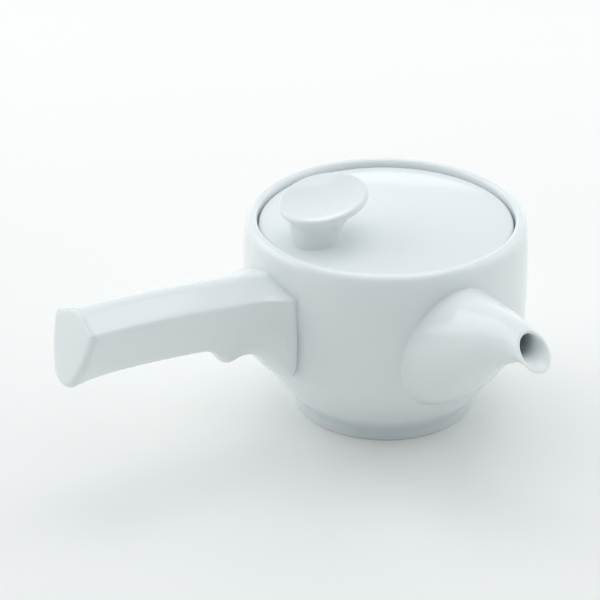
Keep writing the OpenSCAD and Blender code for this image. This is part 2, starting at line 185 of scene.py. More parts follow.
def softbox(name, place, size, power, aim, tint=(1, 1, 1)):
    """A rectangular area lamp at a place in the photo's view, aimed at a point."""
    spot = to_view @ Vector(place)
    bpy.ops.object.select_all(action="DESELECT")
    bpy.ops.object.light_add(type="AREA", location=spot)
    lamp = bpy.context.object
    lamp.name = name
    lamp.rotation_euler = (to_view @ Vector(aim) - spot).to_track_quat("-Z", "Y").to_euler()
    lamp.data.shape = "RECTANGLE"
    lamp.data.size = size[0]
    lamp.data.size_y = size[1]
    lamp.data.energy = power
    lamp.data.color = tint
    print(name, power, "W")


room_blue = (0.955, 0.985, 1)
sky_blue = (0.80, 0.93, 1)
pale_room(0.34, 0.86, room_blue)
softbox("back_glow", (0, 2, 0.36), (2.8, 0.5), 2.1, (0, 0, 0.08))
softbox("overhead_panel", (0, 0.35, 1.5), (1.2, 0.9), 4.2, (0, 0, 0))
softbox("overhead_front", (0, -0.75, 1.4), (1.6, 0.7), 1.8, (0, 0, 0.05), sky_blue)
softbox("left_wall", (-1.8, 0.5, 1.2), (2.2, 1.4), 12, (0, 0, 0.1))
softbox("right_wall", (1.8, 0.6, 1.2), (2.2, 1.4), 7.2, (0, 0, 0.1))
softbox("left_low", (-1.9, 0, 0.3), (1.8, 0.45), 2, (0, 0, 0.05))
softbox("right_low", (1.9, 0, 0.3), (1.8, 0.45), 1.8, (0, 0, 0.05))

# %% [markdown]
# Glazed porcelain is a white body under a thin layer of glass. One shader with a low roughness gives
# that. The detail is quiet: the white drifts a little, the glass is never quite flat, the foot and the
# curve above it take a cooler, darker tint, which is partly glaze that pools there and partly painted
# shade, and the ring that stands in the kiln is left bare and dull.
# Where a wall runs out into a thin lip, light passes through it. That is scattering under the surface,
# which grows along one axis up to the lip, so each piece says along which axis and where, or leaves it
# out.

# %% Glaze
darker_white = (0.82, 0.868, 0.883, 1)
lighter_white = (0.85, 0.888, 0.898, 1)
# The foot's cooler, darker white is partly pooled glaze and partly painted shade.
pooled_glass_and_painted_shade = (0.71, 0.78, 0.805, 1)
bare_clay = (0.80, 0.79, 0.75, 1)
pool_and_shade_range = (2 * mm, 13 * mm)
bare_range = (0.9 * mm, 0.6 * mm)
glass_ior = 1.52
thin_scatter = 0.8
scatter_depth = 3 * mm


def new_material(name):
    """A material with its shader and links, a maker of nodes in it, and a mixer of two colours."""
    material = bpy.data.materials.new(name)
    material.use_nodes = True
    nodes = material.node_tree.nodes
    links = material.node_tree.links

    def feed(socket, value):
        """Links another node's output to a socket, or sets the socket to a plain value."""
        if isinstance(value, bpy.types.NodeSocket):
            links.new(value, socket)
        else:
            socket.default_value = value

    def node(kind, settings=None, **inputs):
        made = nodes.new(kind)
        for key, value in (settings or {}).items():
            setattr(made, key, value)
        for key, value in inputs.items():
            feed(made.inputs[key.replace("_", " ")], value)
        return made

    def mix(factor, first, second):
        blend = node("ShaderNodeMix", {"data_type": "RGBA"})
        for index, value in ((0, factor), (6, first), (7, second)):
            feed(blend.inputs[index], value)
        return blend.outputs[2]

    return material, nodes["Principled BSDF"], links, node, mix


def porcelain_glaze(name, thin_axis=None, thin_from=0, thin_to=0):
    """Glazed porcelain, which lets light through where it thins out along an axis."""
    material, shader, links, node, mix = new_material(name)
    place = node("ShaderNodeTexCoord").outputs["Object"]
    axes = node("ShaderNodeSeparateXYZ", Vector=place)

    def along(axis, start, end, low=0.0, high=1.0):
        """A smooth step between two places on an axis."""
        step = node(
            "ShaderNodeMapRange", {"interpolation_type": "SMOOTHSTEP"}, Value=axes.outputs[axis],
            From_Min=start, From_Max=end, To_Min=low, To_Max=high,
        )
        return step.outputs["Result"]

    drift = node("ShaderNodeTexNoise", Vector=place, Scale=14.0, Detail=3.0, Roughness=0.5)
    white = mix(drift.outputs["Fac"], darker_white, lighter_white)
    # Low on the bowl the white turns cooler and darker: partly pooled glaze, partly painted shade.
    pooled_and_shaded = mix(along("Z", *pool_and_shade_range), pooled_glass_and_painted_shade, white)
    bare = along("Z", *bare_range)
    links.new(mix(bare, pooled_and_shaded, bare_clay), shader.inputs["Base Color"])

    sheen = node("ShaderNodeTexNoise", Vector=place, Scale=60.0, Detail=2.0)
    gloss = node("ShaderNodeMapRange", Value=sheen.outputs["Fac"], To_Min=0.07, To_Max=0.13)
    dull = node("ShaderNodeMapRange", Value=bare, To_Min=gloss.outputs["Result"], To_Max=0.7)
    links.new(dull.outputs["Result"], shader.inputs["Roughness"])
    shader.inputs["IOR"].default_value = glass_ior

    if thin_axis:
        thinness = along(thin_axis, thin_from, thin_to, 0, thin_scatter)
        links.new(thinness, shader.inputs["Subsurface Weight"])
        shader.inputs["Subsurface Radius"].default_value = (1, 1, 1)
        shader.inputs["Subsurface Scale"].default_value = scatter_depth

    ripple = node("ShaderNodeTexNoise", Vector=place, Scale=220.0, Detail=2.0)
    relief = node("ShaderNodeBump", Height=ripple.outputs["Fac"], Strength=0.05, Distance=0.1 * mm)
    links.new(relief.outputs["Normal"], shader.inputs["Normal"])
    return material


glaze = porcelain_glaze("porcelain_glaze")
rim_glaze = porcelain_glaze("porcelain_thin_at_rim", "Z", 73 * mm, 78 * mm)
mouth_glaze = porcelain_glaze("porcelain_thin_at_mouth", "X", 80 * mm, 95 * mm)
print("made", glaze.name, rim_glaze.name, mouth_glaze.name)

# %% [markdown]
# Three ways of making a mesh are enough for this pot. A line is drawn by extruding one vertex from
# point to point, and spun round the axis as on a potter's wheel. A loft starts from a circle, and
# extrudes ring after ring. Each ring then takes the place that its curve gives it.

# %% Wheel and loft
wheel_steps = 160
merge_within = 0.002 * mm
smooth_angle = math.radians(40)


def only(obj):
    """Leaves one object selected and active."""
    bpy.ops.object.select_all(action="DESELECT")
    obj.select_set(True)
    bpy.context.view_layer.objects.active = obj


def draw_line(name, points):
    """A wire through points of radius and height, extruded from vertex to vertex."""
    places = [Vector((radius, 0, height)) for radius, height in points]
    bpy.ops.object.select_all(action="DESELECT")
    bpy.ops.mesh.primitive_plane_add(size=mm)
    line = bpy.context.object
    line.name = name
    bpy.ops.object.mode_set(mode="EDIT")
    bpy.ops.mesh.select_all(action="SELECT")
    bpy.ops.mesh.merge(type="CENTER")
    bpy.ops.transform.translate(value=places[0])
    for start, end in zip(places, places[1:]):
        bpy.ops.mesh.extrude_region_move(TRANSFORM_OT_translate={"value": end - start})
    bpy.ops.object.mode_set(mode="OBJECT")
    return line


def round_corners(line, corners, radius, segments=5):
    """Bevels the wire's vertices that lie at corners of radius and height."""
    only(line)
    bpy.ops.object.mode_set(mode="EDIT")
    bpy.ops.mesh.select_all(action="DESELECT")
    bpy.ops.mesh.select_mode(type="VERT")
    mesh = bmesh.from_edit_mesh(line.data)
    for at, height in corners:
        corner = Vector((at, 0, height))
        nearest = min(mesh.verts, key=lambda vertex: (vertex.co - corner).length)
        nearest.select = True
    mesh.select_flush(True)
    bmesh.update_edit_mesh(line.data)
    bpy.ops.mesh.bevel(offset=radius, segments=segments, affect="VERTICES")
    bpy.ops.object.mode_set(mode="OBJECT")


def finish_mesh(obj, smooth_below=smooth_angle):
    """Merges doubled points, turns the faces outward and shades the piece smooth."""
    only(obj)
    bpy.ops.object.mode_set(mode="EDIT")
    bpy.ops.mesh.select_all(action="SELECT")
    bpy.ops.mesh.remove_doubles(threshold=merge_within)
    bpy.ops.mesh.normals_make_consistent(inside=False)
    bpy.ops.object.mode_set(mode="OBJECT")
    bpy.ops.object.shade_smooth_by_angle(angle=smooth_below)
    print(obj.name, len(obj.data.polygons), "faces")


def spin_line(line):
    """Turns a wire into a solid of revolution about the pot's axis."""
    only(line)
    bpy.ops.object.mode_set(mode="EDIT")
    bpy.ops.mesh.select_all(action="SELECT")
    bpy.ops.mesh.spin(steps=wheel_steps, angle=2 * math.pi, center=(0, 0, 0), axis=(0, 0, 1))
    bpy.ops.object.mode_set(mode="OBJECT")
    finish_mesh(line)


def loft(name, rings, ends):
    """A skin over rings of points, extruded from a circle, with its ends filled or joined."""
    bpy.ops.object.select_all(action="DESELECT")
    bpy.ops.mesh.primitive_circle_add(vertices=len(rings[0]), radius=mm)
    skin = bpy.context.object
    skin.name = name
    bpy.ops.object.mode_set(mode="EDIT")
    bpy.ops.mesh.select_mode(type="VERT")
    bpy.ops.mesh.select_all(action="SELECT")
    mesh = bmesh.from_edit_mesh(skin.data)
    order = mesh.verts.layers.int.new("order")
    for index, vertex in enumerate(mesh.verts):
        vertex[order] = index
        vertex.co = rings[0][index]
    for ring in rings[1:]:
        bpy.ops.mesh.extrude_edges_move()
        mesh = bmesh.from_edit_mesh(skin.data)
        order = mesh.verts.layers.int["order"]
        for vertex in mesh.verts:
            if vertex.select:
                vertex.co = ring[vertex[order]]
    bmesh.update_edit_mesh(skin.data)
    bpy.ops.mesh.select_all(action="DESELECT")
    bpy.ops.mesh.select_non_manifold()
    if ends == "filled":
        bpy.ops.mesh.fill_holes(sides=0)
    else:
        bpy.ops.mesh.bridge_edge_loops()
    bpy.ops.object.mode_set(mode="OBJECT")
    skin.data.attributes.remove(skin.data.attributes["order"])
    finish_mesh(skin)
    return skin


# %% [markdown]
# The same few curves shape every piece. A curve has two ends and two control points, which pull it
# along. The bowl's outside is such a curve in two parts, the shoulder and the flank, and the spout and
# the handle are seated on it, so its radius at any height is needed too. That is found by halving.

# %% Curves
def lerp(a, b, t):
    return a + (b - a) * t


def bezier(ends_and_pulls, t):
    a, b, c, d = ends_and_pulls
    s = 1 - t
    return s ** 3 * a + 3 * s * s * t * b + 3 * s * t * t * c + t ** 3 * d


def bezier_slope(ends_and_pulls, t):
    a, b, c, d = ends_and_pulls
    s = 1 - t
    return 3 * (s * s * (b - a) + 2 * s * t * (c - b) + t * t * (d - c))


def steps_of(count, start=0):
    """Even parameters from 0 to 1, or those after the first few."""
    return [index / count for index in range(start, count + 1)]


def arc(centre, radius, start, end, count, skip_first=True):
    return [
        centre + radius * Vector((math.cos(a), math.sin(a)))
        for a in (lerp(start, end, t) for t in steps_of(count, 1 if skip_first else 0))
    ]


def fade(distance, span):
    """Falls off from 1, to about a third over each span."""
    return math.exp(-distance / span)


def bump(at, middle, span):
    """A bell of height 1 round its middle."""
    return math.exp(-((at - middle) / span) ** 2)


def smooth_step(at, start, end):
    """Climbs from 0 at the start to 1 at the end."""
    t = min(max((at - start) / (end - start), 0), 1)
    return t * t * (3 - 2 * t)


def halve(too_far, low, high, times=30):
    """The parameter at which a test turns from false to true."""
    for _ in range(times):
        middle = (low + high) / 2
        if too_far(middle):
            high = middle
        else:
            low = middle
    return (low + high) / 2


# %% Bowl sizes
bowl_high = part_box("pot_bowl")[1]
body_r = bowl_high.y
rim_z = bowl_high.z
belly_z = 58.4 * mm
rim_r = 51.3 * mm
lip_r = 1.6 * mm
shoulder_r = 2.8 * mm
shoulder_turn = math.radians(70)
bowl_wall = 3.6 * mm
foot_r = 34.85 * mm
neck_r = 34.45 * mm
foot_h = 3 * mm
foot_w = 3.4 * mm
flare_r = 39.8 * mm
flare_z = 11.2 * mm
recess_h = 5.4 * mm
recess_draft = 0.6 * mm
floor_z = 9.6 * mm
floor_bevel = 6 * mm
seat_z = 73 * mm
seat_w = 5.7 * mm
seat_t = 2 * mm

side_top = Vector((
    rim_r + shoulder_r * math.sin(shoulder_turn),
    rim_z - shoulder_r * (1 - math.cos(shoulder_turn)),
))
side_way = Vector((math.cos(shoulder_turn), -math.sin(shoulder_turn)))
belly = Vector((body_r, belly_z))
flare = Vector((flare_r, flare_z))
neck = Vector((neck_r, foot_h))
upper_side = [side_top, side_top + 2.5 * mm * side_way, belly + mm * Vector((0, 8)), belly]
flank = [belly, belly - mm * Vector((0, 33)), flare + mm * Vector((14.7, 20.1)), flare]
fillet = [flare, flare - mm * Vector((2.9, 4)), neck + mm * Vector((0, 2.4)), neck]


def bowl_radius(height):
    """Outer radius of the bowl at a height."""
    line = upper_side if height > belly_z else flank
    at = halve(lambda t: bezier(line, t).y < height, 0, 1)
    return bezier(line, at).x


def on_bowl(aside, height):
    """How far out the bowl's surface lies, at a distance to the side and a height."""
    return math.sqrt(bowl_radius(height) ** 2 - aside ** 2)


print("bowl", round(2 * body_r / mm, 1), "mm wide and", round(rim_z / mm, 1), "mm high")

# %% [markdown]
# The bowl is thrown on a wheel, so it is one line spun round the axis. The line runs from the middle of
# the floor up the inside, over the ledge that carries the basket and the lid, round the lip, and down
# the outside to the foot. Its corners are rounded by a bevel before the spin, as a sponge rounds wet
# clay. The hole that leads into the spout is cut afterwards.

# %% Bowl
mouth_r = rim_r - lip_r
seat_r = mouth_r - seat_w
spout_turn = math.radians(-4.5)
spout_root_z = 46 * mm
spout_hole_r = 13 * mm


def inner_flank(t):
    """The bowl's inside, one wall in from the flank."""
    along = bezier_slope(flank, t).normalized()
    return bezier(flank, t) + bowl_wall * Vector((along.y, -along.x))


def bowl_line():
    """The bowl's whole line, with its corners rounded."""
    floor_edge = Vector((inner_flank(1).x - floor_bevel, floor_z))
    ledge_root = Vector((body_r - bowl_wall, seat_z - seat_t - seat_w - bowl_wall / 2))
    ledge_under = Vector((seat_r, seat_z - seat_t))
    ledge_edge = Vector((seat_r, seat_z))
    seat_corner = Vector((mouth_r, seat_z))
    foot_edge = Vector((foot_r, 0))
    foot_inside = Vector((foot_r - foot_w, 0))
    recess_edge = Vector((foot_r - foot_w - recess_draft, recess_h))
    upright = math.pi / 2
    lip = arc(Vector((rim_r, rim_z - lip_r)), lip_r, math.pi, upright, 8, skip_first=False)
    shoulder_at = Vector((rim_r, rim_z - shoulder_r))
    shoulder = arc(shoulder_at, shoulder_r, upright, upright - shoulder_turn, 12)
    line = draw_line("bowl", [
        Vector((0, floor_z)),
        floor_edge,
        *[inner_flank(1 - t) for t in steps_of(20)],
        ledge_root,
        ledge_under,
        ledge_edge,
        seat_corner,
        *lip,
        *shoulder,
        *[bezier(upper_side, t) for t in steps_of(20, 1)],
        *[bezier(flank, t) for t in steps_of(32, 1)],
        *[bezier(fillet, t) for t in steps_of(12, 1)],
        foot_edge,
        foot_inside,
        recess_edge,
        Vector((0, recess_h)),
    ])
    round_corners(line, [floor_edge], 5 * mm, 8)
    round_corners(line, [ledge_root], 2.5 * mm)
    round_corners(line, [ledge_under, ledge_edge, seat_corner], 0.6 * mm, 4)
    round_corners(line, [foot_edge, foot_inside, recess_edge], 0.8 * mm, 4)
    return line


bowl = bowl_line()
spin_line(bowl)

bpy.ops.object.select_all(action="DESELECT")
bpy.ops.mesh.primitive_cylinder_add(vertices=64, radius=spout_hole_r, depth=2 * body_r)
hole = bpy.context.object
hole.matrix_world = (
    Matrix.Rotation(spout_turn, 4, "Z")
    @ Matrix.Translation((body_r, 0, spout_root_z))
    @ Matrix.Rotation(math.pi / 2, 4, "Y")
)
only(bowl)
cut = bowl.modifiers.new("spout_hole", "BOOLEAN")
cut.operation = "DIFFERENCE"
cut.object = hole
bpy.ops.object.modifier_apply(modifier=cut.name)
bpy.data.objects.remove(hole)
only(bowl)
bpy.ops.object.shade_smooth_by_angle(angle=smooth_angle)
bowl.data.materials.clear()
bowl.data.materials.append(rim_glaze)
print("bowl has", len(bowl.data.polygons), "faces after the cut")

# %% [markdown]
# The spout is cast in a mould and stuck on. Seen from the side it lies between an upper and a lower
# line, so it is a loft of ovals that hang between the two. The first rings roll off the bowl in a small
# fillet, which is the slip that the potter smooths round the joint. At the mouth the loft turns over a
# rounded lip and runs back down the inside.

# %% Spout
spout_root_h = 52 * mm
spout_root_w = 44.8 * mm
mouth_x = body_r + 49.6 * mm
mouth_z = 69.3 * mm
mouth_l = 17.4 * mm
mouth_w = 13.4 * mm
mouth_tilt = math.radians(45.4)
neck_draw = 0.9 * mm
neck_at = 0.88
neck_span = 0.1
spout_wall = 3.4 * mm
spout_lip = 1.4 * mm
lip_bulge = 0.28
lip_fade = 0.1
egg = 0.12
root_fade = 0.4
slip_r = 0.7 * mm

spout_top = spout_root_z + spout_root_h / 2
spout_bottom = spout_root_z - spout_root_h / 2
root_top = Vector((bowl_radius(spout_top), spout_top))
root_bottom = Vector((bowl_radius(spout_bottom), spout_bottom))
mouth_middle = Vector((mouth_x, mouth_z))
mouth_up = Vector((-math.sin(mouth_tilt), math.cos(mouth_tilt)))
mouth_out = Vector((math.cos(mouth_tilt), 0, math.sin(mouth_tilt)))
mouth_top = mouth_middle + mouth_up * mouth_l / 2
mouth_bottom = mouth_middle - mouth_up * mouth_l / 2
spout_upper = [root_top, root_top + mm * Vector((18, 2.6)), mouth_top + mm * Vector((-8, 2.4)), mouth_top]
spout_lower = [
    root_bottom,
    root_bottom + mm * Vector((21.5, 10.8)),
    mouth_bottom + mm * Vector((-30, 0.4)),
    mouth_bottom,
]
spout_half_w = [spout_root_w / 2, spout_root_w / 2 - 5.3 * mm, mouth_w / 2 + 0.1 * mm, mouth_w / 2]


def spout_oval(t, around, inset):
    """A point of the oval at t, before the root is fitted to the bowl."""
    top = bezier(spout_upper, t)
    across = top - bezier(spout_lower, t)
    thin = inset + neck_draw * bump(t, neck_at, neck_span) * (1 - math.sin(around)) / 2
    height = top - across / 2 + across.normalized() * (across.length / 2 - thin) * math.sin(around)
    aside = (bezier(spout_half_w, t) - thin) * math.cos(around) * (1 - egg * (1 - t) * math.sin(around))
    return Vector((height.x, aside, height.y))


def spout_point(t, around, inset):
    """A point of the spout, with the root moved out or in until it lies on the bowl."""
    root = spout_oval(0, around, inset)
    shift = on_bowl(root.y, root.z) - root.x
    return spout_oval(t, around, inset) + Vector((shift * max(0, 1 - t / root_fade) ** 2, 0, 0))


def slip_joint(outer, corner, point_at, limit, radius, rounds=7):
    """A fillet from the bowl to a stuck-on piece, and the parameter at which it meets the piece."""
    meets = halve(lambda t: (point_at(t) - corner).length > radius, 0, limit)
    inner = point_at(meets)
    curve = [
        (1 - t) ** 2 * outer + 2 * t * (1 - t) * corner + t * t * inner
        for t in steps_of(rounds)
    ]
    return curve, meets


def spout_rings(around_steps=96):
    """The spout's rings, from the joint over the outside and the lip to the inside."""
    columns = []
    for index in range(around_steps):
        around = 2 * math.pi * index / around_steps
        outer = spout_point(0, around, -slip_r)
        corner = spout_point(0, around, 0)
        joint, meets = slip_joint(
            outer, corner, lambda t: spout_point(t, around, 0), limit=0.3, radius=slip_r,
        )
        outside = [spout_point(lerp(meets, 1, t), around, 0) for t in steps_of(44, 1)]
        lip = [
            spout_point(1, around, spout_lip * (1 - math.cos(math.pi * t)) / 2)
            + mouth_out * lip_bulge * spout_lip * math.sin(math.pi * t)
            for t in steps_of(8, 1)
        ]
        inside = [
            spout_point(1 - t * t, around, lerp(spout_wall, spout_lip, fade(t * t, lip_fade)))
            for t in steps_of(28, 1)
        ]
        columns.append(joint + outside + lip + inside)
    turn = Matrix.Rotation(spout_turn, 3, "Z")
    return [[turn @ column[row] for column in columns] for row in range(len(columns[0]))]


spout = loft("pouring_spout", spout_rings(), "joined")
spout.data.materials.append(mouth_glaze)

# %% [markdown]
# The handle is cast hollow. Its section is made of arcs that run into each other: a low roof with a
# round apex, two ridges, slightly bulged sides and a round keel. Near the bowl it deepens into a heel
# with a finger stop. Its root is as wide at the foot as at the ridges, with a groove along the joint
# where the wet slip was wiped out. The other end is a flat, softly edged face that looks a little
# upward.

# %% Handle section
handle_l = 84.2 * mm
handle_z = 64.2 * mm
handle_rise = 8.2 * mm
handle_bow = 0.7
handle_half_w = 13.1 * mm
handle_crown = 6.2 * mm
handle_depth = 22.2 * mm
apex_r = 9 * mm
apex_end_r = 16 * mm
ridge_r = 1.5 * mm
ridge_end_r = 2.2 * mm
keel_r = 5 * mm
keel_end_r = 9.6 * mm
side_r = 90 * mm
side_end_r = 34 * mm
end_power = 8
end_spread = 0.9 * mm
end_drop = 2.5 * mm
end_tilt = math.radians(15)
end_round = 2.4 * mm
end_dome = 0.3 * mm
finger_stop_at = 18 * mm
finger_stop_h = 2.6 * mm
finger_stop_span = 4 * mm
heel_depth = 4.2 * mm
heel_past_stop = 4 * mm
heel_slope = 1.5 * mm
handle_wall = 3.2 * mm
least_ridge_r = 0.3 * mm
least_keel_r = 0.8 * mm

root_spread, root_spread_span = 4 * mm, 5 * mm
root_keel_r, root_keel_span = 7 * mm, 3 * mm
root_bulge_r, root_bulge_span = 30 * mm, 4 * mm
root_drop, root_drop_span = 10 * mm, 4.4 * mm
root_half_w, root_widen_span = 17.6 * mm, 9 * mm
root_swell, root_swell_span = 7 * mm, 2.4 * mm
root_groove, root_groove_span = 7.6 * mm, 1.3 * mm
root_foot = 34 * mm
root_corner = 6
root_slip_r = 0.3 * mm
widen_below = (-2 * mm, -14 * mm)
groove_above = (-37 * mm, -31 * mm)
groove_below = (4 * mm, 1.5 * mm)
off_middle = (2 * mm, 8 * mm)


def bearing(start, end):
    return math.atan2(end.y - start.y, end.x - start.x)


def half_section(width, crown, depth, apex, ridge, keel, side):
    """Half of the handle's section, from the apex over the ridge and the side to the keel."""
    ridge_at = Vector((width - ridge, 0))
    keel_at = Vector((0, keel - depth))
    apex_at = Vector((0, crown - apex))

    def too_steep(slope):
        """Whether a roof at this slope, laid on the apex, passes under the ridge."""
        return math.sin(slope) * ridge_at.x + ridge > math.cos(slope) * apex_at.y + apex

    roof_end = math.pi / 2 - halve(too_steep, 0, math.pi / 2)
    span = (keel_at - ridge_at).length
    along = (keel_at - ridge_at) / span
    reach = ((side - ridge) ** 2 - (side - keel) ** 2 + span ** 2) / (2 * span)
    away = math.sqrt((side - ridge) ** 2 - reach ** 2)
    side_at = ridge_at + along * reach + away * Vector((along.y, -along.x))
    side_start = bearing(side_at, ridge_at)
    side_end = bearing(side_at, keel_at)
    apex_line = arc(apex_at, apex, math.pi / 2, roof_end, 8, skip_first=False)
    ridge_line = arc(ridge_at, ridge, roof_end, side_start, 7, skip_first=False)
    roof = [apex_line[-1].lerp(ridge_line[0], t) for t in (0.25, 0.5, 0.75)]
    return (
        apex_line + roof + ridge_line
        + arc(side_at, side, side_start, side_end, 8)
        + arc(keel_at, keel, side_end, -math.pi / 2, 10)
    )


def root_edge(u, point):
    """How far a side point moves out to the root's full width, and in at the groove along the joint."""
    drop = min(max(-point.y / root_foot, 0), 1)
    full_width = root_half_w * (1 - drop ** root_corner) ** (1 / root_corner)
    share = fade(u * u, root_widen_span ** 2) * smooth_step(point.y, *widen_below)
    widening = max(full_width - point.x, 0) * share
    swell = root_swell * fade(u, root_swell_span) - root_groove * fade(u, root_groove_span)
    flank_share = smooth_step(point.y, *groove_above) * smooth_step(point.y, *groove_below)
    return (widening + swell * flank_share) * smooth_step(point.x, *off_middle)


def handle_section(u, inset):
    """The whole section at a distance u from the bowl."""
    ending = (u / handle_l) ** end_power
    heel = 1 / (1 + math.exp((u - finger_stop_at - heel_past_stop) / heel_slope))
    depth = (
        handle_depth + heel_depth * heel + finger_stop_h * bump(u, finger_stop_at, finger_stop_span)
        + root_drop * fade(u * u, root_drop_span ** 2) + end_drop * ending
    )
    ridge = lerp(ridge_r, ridge_end_r, ending)
    keel = lerp(keel_r, keel_end_r, ending) + root_keel_r * fade(u, root_keel_span)
    half = half_section(
        width=handle_half_w + end_spread * ending + root_spread * fade(u, root_spread_span) - inset,
        crown=handle_crown - inset,
        depth=depth - inset,
        apex=lerp(apex_r, apex_end_r, ending) - inset,
        ridge=max(ridge - inset, least_ridge_r),
        keel=max(keel - inset, least_keel_r),
        side=lerp(side_r, side_end_r, ending) - root_bulge_r * fade(u, root_bulge_span) - inset,
    )
    half = [Vector((p.x + root_edge(u, p), p.y)) for p in half]
    return [Vector((-p.x, p.y)) for p in half] + half[-2:0:-1]


def handle_ring(u, inset, out=0):
    """The section at u, set on the handle's arched line."""
    along = u / handle_l
    tilt = end_tilt * along
    ridge_z = handle_z + handle_rise * ((1 + handle_bow) * along - handle_bow * along ** 2)
    return [
        Vector((
            p.x,
            p.y * math.sin(tilt) - out * math.cos(tilt) - body_r - u,
            p.y * math.cos(tilt) + out * math.sin(tilt) + ridge_z,
        ))
        for p in handle_section(u, inset)
    ]


def root_ring(inset):
    """The section at the bowl, moved in until it lies on the bowl."""
    return [Vector((p.x, -on_bowl(p.x, p.z), p.z)) for p in handle_ring(0, inset)]


print("handle section has", len(handle_section(0, 0)), "points")

# %% Handle
root_to = 8 * mm
heel_to = 34 * mm
grip_to = handle_l - end_round
hollow_from = 3 * mm
fine_steps = 160
face_shares = (0.94, 0.85, 0.7, 0.5, 0.3, 0.1)


def handle_rings():
    """The handle's rings, from the end of its hollow back to the bowl, and out again to its end face."""
    root = root_ring(0)
    spread = root_ring(-root_slip_r)
    pull = [on - off for on, off in zip(root, handle_ring(0, 0))]

    def near_root(u):
        ease = (1 - u / root_to) ** 2
        return [p + ease * shift for p, shift in zip(handle_ring(u, 0), pull)]

    fine = [near_root(root_to * t) for t in steps_of(fine_steps)]
    columns = []
    for index, corner in enumerate(root):
        def point_at(t):
            at = t * fine_steps
            low = min(int(at), fine_steps - 1)
            return fine[low][index].lerp(fine[low + 1][index], at - low)

        joint, meets = slip_joint(spread[index], corner, point_at, limit=0.8, radius=root_slip_r)
        columns.append(joint + [point_at(lerp(meets, 1, t * t)) for t in steps_of(24, 1)])
    seat = [list(row) for row in zip(*columns)]
    heel = [handle_ring(lerp(root_to, heel_to, t), 0) for t in steps_of(22, 1)]
    grip = [handle_ring(lerp(heel_to, grip_to, t), 0) for t in steps_of(14, 1)]
    edge = [
        handle_ring(grip_to, end_round * (1 - math.cos(a)), end_round * math.sin(a))
        for a in (math.pi / 2 * t for t in steps_of(6, 1))
    ]
    face_middle = sum(edge[-1], Vector()) / len(edge[-1])
    face_out = Vector((0, -math.cos(end_tilt), math.sin(end_tilt)))
    face = [
        [face_middle.lerp(p, s) + face_out * end_dome * (1 - s * s) for p in edge[-1]]
        for s in face_shares
    ]
    hollow = [
        handle_ring(lerp(handle_l - 2 * handle_wall, hollow_from, t), handle_wall) for t in steps_of(8)
    ]
    return hollow + [root_ring(handle_wall)] + seat + heel + grip + edge + face


handle = loft("side_handle", handle_rings(), "filled")
handle.data.materials.append(glaze)

# %% [markdown]
# The lid is thrown too. Its dome runs out to a rounded edge that drops inside the rim with a thin gap
# all round, and a collar under it keeps it from sliding off when the pot is tipped.

# %% Lid
lid_low, lid_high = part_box("lid")
lid_r = lid_high.y
lid_top_z = lid_high.z
lid_edge_z = 77.7 * mm
lid_edge_r = 1.4 * mm
lid_under_z = 73.6 * mm
lid_t = 3.2 * mm
collar_r = 41.1 * mm
collar_t = 3 * mm
collar_z = lid_low.z
dome_rise = lid_top_z - lid_edge_z
dome_r = ((lid_r - lid_edge_r) ** 2 + dome_rise ** 2) / (2 * dome_rise)


def dome_height(radius):
    return lid_top_z - dome_r + math.sqrt(dome_r ** 2 - radius ** 2)


def lid_line():
    """The lid's whole line, with its corners rounded."""
    flat_r = lid_r - lid_edge_r
    hollow_r = collar_r - collar_t
    edge_at = Vector((flat_r, lid_edge_z - lid_edge_r))
    side_low = Vector((lid_r, lid_under_z))
    collar_root = Vector((collar_r, lid_under_z))
    collar_out = Vector((collar_r, collar_z))
    collar_in = Vector((hollow_r, collar_z))
    hollow_root = Vector((hollow_r, dome_height(hollow_r) - lid_t))
    line = draw_line("lid_dome", [
        *[Vector((flat_r * t, dome_height(flat_r * t))) for t in steps_of(24)],
        *arc(edge_at, lid_edge_r, math.radians(80), 0, 8, skip_first=False),
        side_low,
        collar_root,
        collar_out,
        collar_in,
        *[Vector((hollow_r * (1 - t), dome_height(hollow_r * (1 - t)) - lid_t)) for t in steps_of(12)],
    ])
    round_corners(line, [side_low, collar_out, collar_in], 0.7 * mm, 4)
    round_corners(line, [collar_root, hollow_root], 0.5 * mm, 3)
    return line


lid = lid_line()
spin_line(lid)
lid.data.materials.append(glaze)

# %% [markdown]
# The knob stands off the middle of the lid, on the handle's side, so that the thumb of the hand that
# holds the handle reaches it. Its stem flares into a disc that leans towards the handle and is dished
# for the thumb.

# %% Knob
knob_offset = 32.9 * mm
stem_r = 10 * mm
knob_h = 14.8 * mm
disc_r = 17.3 * mm
disc_tilt = math.radians(12.5)
disc_shift = 3.7 * mm
dish_depth = 2.2 * mm
disc_edge_r = 1.2 * mm
disc_under_r = 2.2 * mm
knob_slip = 0.4 * mm
knob_base_z = dome_height(knob_offset)
dish_r = disc_r - disc_edge_r
dish_shares = (0.97, 0.92, 0.84, 0.74, 0.62, 0.5, 0.37, 0.24, 0.12, 0.03)


def knob_ring(radius, rise, lean, lift=0, count=96):
    """A round ring that leans towards the handle."""
    tilt = disc_tilt * lean
    centre = Vector((0, disc_shift * lean - knob_offset, knob_base_z + rise))
    normal = Vector((0, -math.sin(tilt), math.cos(tilt)))
    return [
        centre + lift * normal
        + radius * Vector((math.cos(a), math.sin(a) * math.cos(tilt), math.sin(a) * math.sin(tilt)))
        for a in (2 * math.pi * index / count for index in range(count))
    ]


def on_dome(ring):
    """The ring laid down on the lid."""
    return [Vector((p.x, p.y, dome_height(p.xy.length))) for p in ring]


